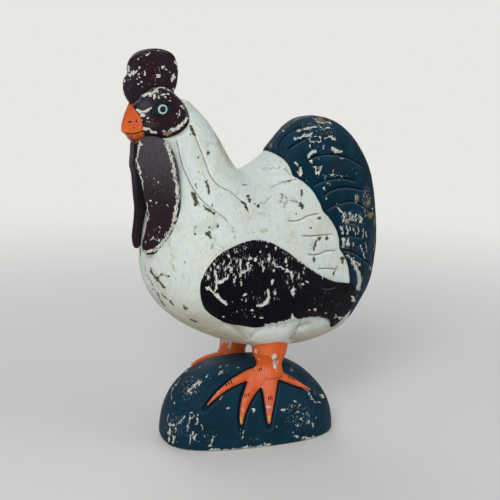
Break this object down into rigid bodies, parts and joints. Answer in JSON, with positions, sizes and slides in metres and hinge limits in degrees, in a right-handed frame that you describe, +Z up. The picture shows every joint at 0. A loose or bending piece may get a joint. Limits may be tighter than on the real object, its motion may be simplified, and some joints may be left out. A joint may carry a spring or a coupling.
{
  "type": "wooden rooster figurine",
  "caption": "Carved and painted wooden rooster standing on a rounded mound, with let-in legs and wings, a board tail, a thick comb and long wattles, finished in worn chipped paint",
  "frame": {"origin": "centre of the mound's flat resting face", "axes": "+Z up, beak towards -X, tail towards +X, the rooster's left side towards -Y and its right side towards +Y"},
  "size_m": [0.288, 0.154, 0.4014],
  "materials": {
    "cream_paint": "matte",
    "plum_paint": "satin",
    "blue_paint": "satin",
    "black_paint": "satin",
    "orange_paint": "satin",
    "eye_paint": "satin",
    "bare_wood": "matte"
  },
  "bodies": {
    "root": {"base_mound": "blue_paint", "left_leg": "orange_paint", "right_leg": "orange_paint", "body_front_block": "cream_paint", "body_rear_block": "cream_paint", "tail": "blue_paint", "head": "plum_paint", "comb": "plum_paint", "beak": "orange_paint", "left_eye": "eye_paint", "right_eye": "eye_paint", "left_wattle": "plum_paint", "right_wattle": "plum_paint", "left_wing": "black_paint", "right_wing": "black_paint", "body_dowel_lower": "bare_wood", "body_dowel_upper": "bare_wood", "tail_dowel_lower": "bare_wood", "tail_dowel_upper": "bare_wood", "neck_dowel": "bare_wood", "comb_peg_front": "bare_wood", "comb_peg_back": "bare_wood", "beak_peg": "bare_wood", "left_wattle_peg": "bare_wood", "right_wattle_peg": "bare_wood", "left_wing_peg_front": "bare_wood", "right_wing_peg_front": "bare_wood", "left_wing_peg_back": "bare_wood", "right_wing_peg_back": "bare_wood"}
  },
  "joints": []
}
